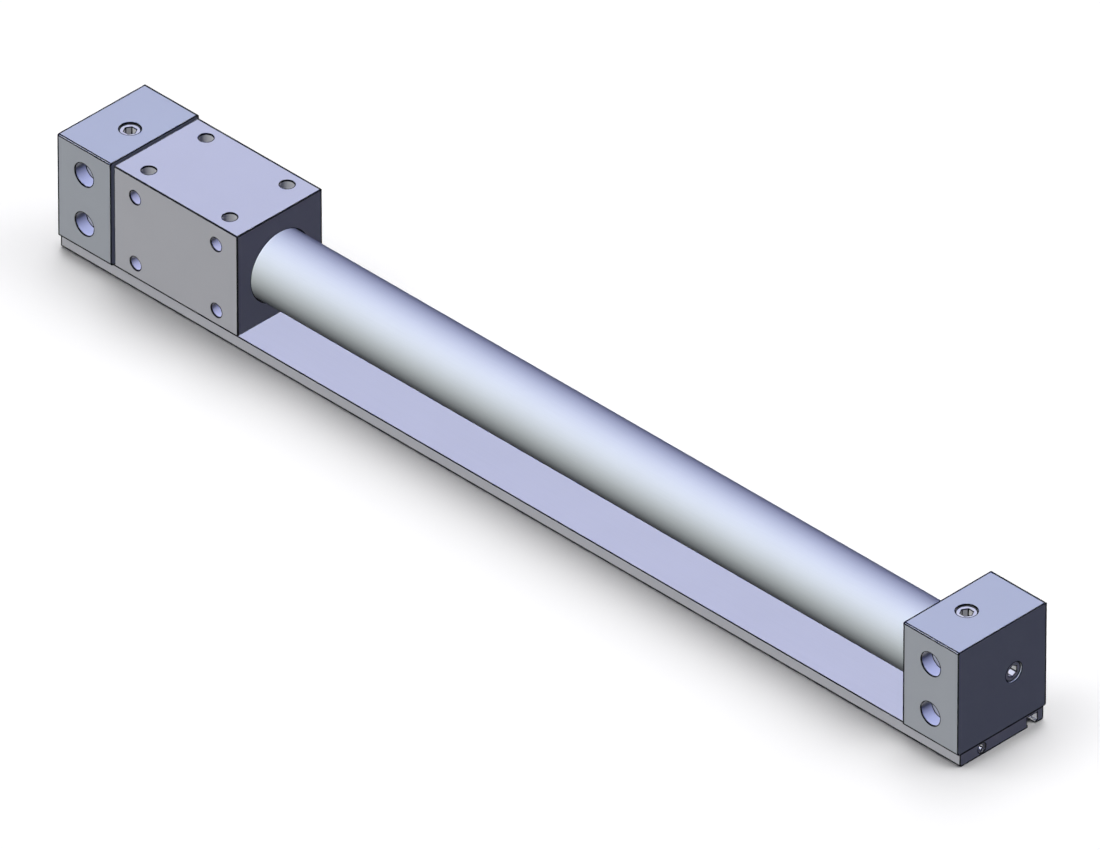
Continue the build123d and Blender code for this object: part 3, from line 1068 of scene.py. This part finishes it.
@dataclass(frozen=True)
class Lamp:
    """A wide lamp, far away.

    The direction points from the object to the lamp, and the distance is in metres.
    Level is the light that a white surface facing the lamp gives back.
    """

    name: str
    shines: Shines
    direction: tuple[float, float, float]
    level: float
    colour: Colour = (1.0, 1.0, 1.0)
    distance: float = 2.0
    spread_deg: float = 20.0
    casts: bool = False
    blockers: tuple[str, ...] = ()

    def data(self) -> bpy.types.Light:
        """Makes the lamp's data.

        Returns:
            The data of a lamp whose light comes evenly from afar.
        """
        made = bpy.data.lights.new(self.name, "SUN")
        made.energy = self.level * math.pi
        made.angle = math.radians(self.spread_deg)
        return made

    def centre(self, toward: Vector) -> Vector:
        """Where the lamp hangs."""
        return toward * self.distance

    def turn(self, toward: Vector) -> Matrix:
        """The turn that points the lamp at the object, with a strip's length along X.

        Args:
            toward: The unit vector from the object to the lamp.

        Returns:
            The turn.
        """
        along = Vector((1.0, 0.0, 0.0))
        if abs(toward.dot(along)) > NEARLY_PARALLEL:
            along = Vector((0.0, 1.0, 0.0))
        side = toward.cross(along).normalized()
        return Matrix((side.cross(toward), side, toward)).transposed()

    def light(self, things: dict[str, bpy.types.Object]) -> None:
        """Adds the lamp.

        Args:
            things: The floor and the pieces of the frame.
        """
        data = self.data()
        data.color = self.colour
        data.use_shadow = self.casts
        data.cycles.use_multiple_importance_sampling = False
        lamp = bpy.data.objects.new(self.name, data)
        bpy.context.scene.collection.objects.link(lamp)
        toward = Vector(self.direction).normalized()
        lamp.location = self.centre(toward)
        lamp.rotation_euler = self.turn(toward).to_euler()
        lamp.visible_camera = False
        lamp.light_linking.receiver_collection = self.shines.on(self.name + "_shines_on", things)
        if self.blockers:
            stopped_by = bpy.data.collections.new(self.name + "_stopped_by")
            for name in self.blockers:
                stopped_by.objects.link(things[name])
            lamp.light_linking.blocker_collection = stopped_by


@dataclass(frozen=True)
class StripLamp(Lamp):
    """A long narrow lamp beside the tube, which follows its length. Sizes in metres."""

    length: float = 0.8
    width: float = 0.02

    def data(self) -> bpy.types.Light:
        """Makes the lamp's data.

        Returns:
            The data of a rectangular lamp, whose level holds at the tube's surface.
        """
        made = bpy.data.lights.new(self.name, "AREA")
        made.shape = "RECTANGLE"
        made.size, made.size_y = self.length, self.width
        made.energy = 2 * math.pi * self.level * (self.distance - TUBE_R * MM) * self.length
        return made

    def centre(self, toward: Vector) -> Vector:
        """Where the lamp hangs."""
        return Vector((0.0, 0.0, TUBE_Z * MM)) + toward * self.distance


@dataclass(frozen=True)
class FloorLamp(Lamp):
    """A very wide lamp that casts the soft shadows on the floor."""

    spread_deg: float = 40.0
    casts: bool = True


@dataclass
class Studio:
    """The pale floor, the lamps, the surroundings and the camera."""

    floor_radius: float = 6.0
    floor_sides: int = 96
    floor_drop: float = 0.0001
    floor_seen: Colour = (0.95, 0.95, 0.95)
    floor_to_light: Colour = (0.02, 0.02, 0.02)
    around_seen: Colour = (1.0, 1.0, 1.0)
    around: Colour = (0.018, 0.016, 0.036)
    lamps: tuple[Lamp, ...] = (
        Lamp("key", Shines.BLOCKS, (0.0, -0.612, 0.791), 0.822),
        Lamp("overhead", Shines.BLOCKS, (0.1, -0.05, 1.0), 0.467, (0.27, 0.345, 1.0)),
        Lamp("left", Shines.ALL, (-1.0, 0.0, 0.0), 0.45, (0.97, 0.98, 1.0)),
        Lamp("back", Shines.ALL, (0.0, 0.707, -0.707), 0.5, (0.95, 0.96, 1.0)),
        Lamp("tube_front", Shines.TUBE, (0.0, -0.643, 0.766), 0.355),
        StripLamp("tube_key", Shines.TUBE, (0.0, -0.629, 0.777), 0.68, distance=0.0505),
        StripLamp(
            "tube_overhead", Shines.TUBE, (0.0, -0.17, 0.985), 0.275, (0.0, 0.02, 1.0), 0.047
        ),
        FloorLamp("floor_front", Shines.FLOOR, (-0.35, -0.35, 0.87), 0.318),
        FloorLamp("floor_back", Shines.FLOOR, (-0.35, 0.35, 0.87), 0.193),
        FloorLamp("floor_right", Shines.FLOOR, (0.5, 0.5, 0.707), 0.15),
        FloorLamp(
            "floor_low_left", Shines.FLOOR, (-0.5, 0.5, 0.707), 0.39, blockers=LOW_PIECES
        ),
        FloorLamp(
            "floor_low_right", Shines.FLOOR, (0.5, 0.5, 0.707), 0.36, blockers=LOW_PIECES
        ),
    )
    azimuth_deg: float = 45.0
    elevation_deg: float = 35.264
    half_view_deg: float = 0.85
    sensor_mm: float = 36.0
    frame_width_m: float = 0.470335
    aim: tuple[float, float] = (-0.028208, 0.029591)
    clip_shares: tuple[float, float] = (0.01, 3.0)

    def seen(self, shader: Shader) -> Value:
        """1 for what the camera sees, and 0 for the light on the object.

        Args:
            shader: The shader that asks.

        Returns:
            The share.
        """
        outputs = shader.node("ShaderNodeLightPath").outputs
        camera, glossy, transmission = (Value(shader, outputs[ray]) for ray in SEEING_RAYS)
        return (camera + glossy + transmission).limited()

    def as_seen(
        self, shader: Shader, to_light: bpy.types.Node, to_camera: bpy.types.Node
    ) -> bpy.types.NodeSocket:
        """Mixes what the light on the object meets with what the camera sees.

        Args:
            shader: The shader that takes the nodes.
            to_light: What the light on the object meets.
            to_camera: What the camera sees.

        Returns:
            The mixed shader's socket.
        """
        sockets = {0: self.seen(shader), 1: to_light.outputs[0], 2: to_camera.outputs[0]}
        return shader.node("ShaderNodeMixShader", None, sockets).outputs[0]

    def lay_floor(self) -> bpy.types.Object:
        """Lays the floor, white where it is seen and dark to the light on the object.

        Returns:
            The floor.
        """
        mesh = bmesh.new()
        bmesh.ops.create_circle(
            mesh, cap_ends=True, segments=self.floor_sides, radius=self.floor_radius
        )
        bmesh.ops.translate(mesh, vec=(0, 0, -self.floor_drop), verts=mesh.verts)
        data = bpy.data.meshes.new("floor")
        mesh.to_mesh(data)
        mesh.free()
        floor = bpy.data.objects.new("floor", data)
        bpy.context.scene.collection.objects.link(floor)
        shader, look = Shader.material("pale_floor")
        white = shader.node("ShaderNodeBsdfDiffuse", None, {"Color": (*self.floor_seen, 1.0)})
        dark = shader.node("ShaderNodeBsdfDiffuse", None, {"Color": (*self.floor_to_light, 1.0)})
        mix = self.as_seen(shader, dark, white)
        shader.node("ShaderNodeOutputMaterial", None, {"Surface": mix})
        data.materials.append(look)
        return floor

    def surround(self) -> None:
        """Sets the world: white where it is seen, and dim for the light on the object."""
        world = bpy.data.worlds.new("studio")
        bpy.context.scene.world = world
        world.use_nodes = True
        shader = Shader(world.node_tree)
        dim = shader.node("ShaderNodeBackground", None, {"Color": (*self.around, 1.0)})
        white = shader.node("ShaderNodeBackground", None, {"Color": (*self.around_seen, 1.0)})
        mix = self.as_seen(shader, dim, white)
        shader.node("ShaderNodeOutputWorld", None, {"Surface": mix})

    def place_camera(self) -> None:
        """Places the long lens that looks along the corner of the object."""
        half = math.radians(self.half_view_deg)
        data = bpy.data.cameras.new("camera")
        data.sensor_width = self.sensor_mm
        data.lens = self.sensor_mm / 2 / math.tan(half)
        distance = self.frame_width_m / 2 / math.tan(half)
        data.clip_start, data.clip_end = (distance * share for share in self.clip_shares)
        turn, rise = math.radians(self.azimuth_deg), math.radians(self.elevation_deg)
        back = Vector(
            (math.sin(turn) * math.cos(rise), -math.cos(turn) * math.cos(rise), math.sin(rise))
        )
        camera = bpy.data.objects.new("camera", data)
        bpy.context.scene.collection.objects.link(camera)
        camera.location = Vector((*self.aim, 0.0)) + back * distance
        camera.rotation_euler = (-back).to_track_quat("-Z", "Y").to_euler()
        bpy.context.scene.camera = camera

    def build(self, nodes: dict[str, bpy.types.Object]) -> None:
        """Sets up the whole studio.

        Args:
            nodes: The pieces of the frame.
        """
        things = {"floor": self.lay_floor(), **nodes}
        self.surround()
        for lamp in self.lamps:
            lamp.light(things)
        self.place_camera()
        bpy.context.scene.cycles.diffuse_bounces = 0
        bpy.context.scene.cycles.use_light_tree = False
        bpy.context.scene.view_settings.view_transform = "Standard"
        log.info("studio: %d lamps", len(self.lamps))


def main() -> None:
    """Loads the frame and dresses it."""
    logging.basicConfig(level=logging.INFO, format="%(message)s")
    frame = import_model()
    for assembly in (Heads, RailAndTube, Slider, Piston):
        assembly(frame["nodes"]).build()
    Studio().build(frame["nodes"])


if __name__ == "__main__":
    main()
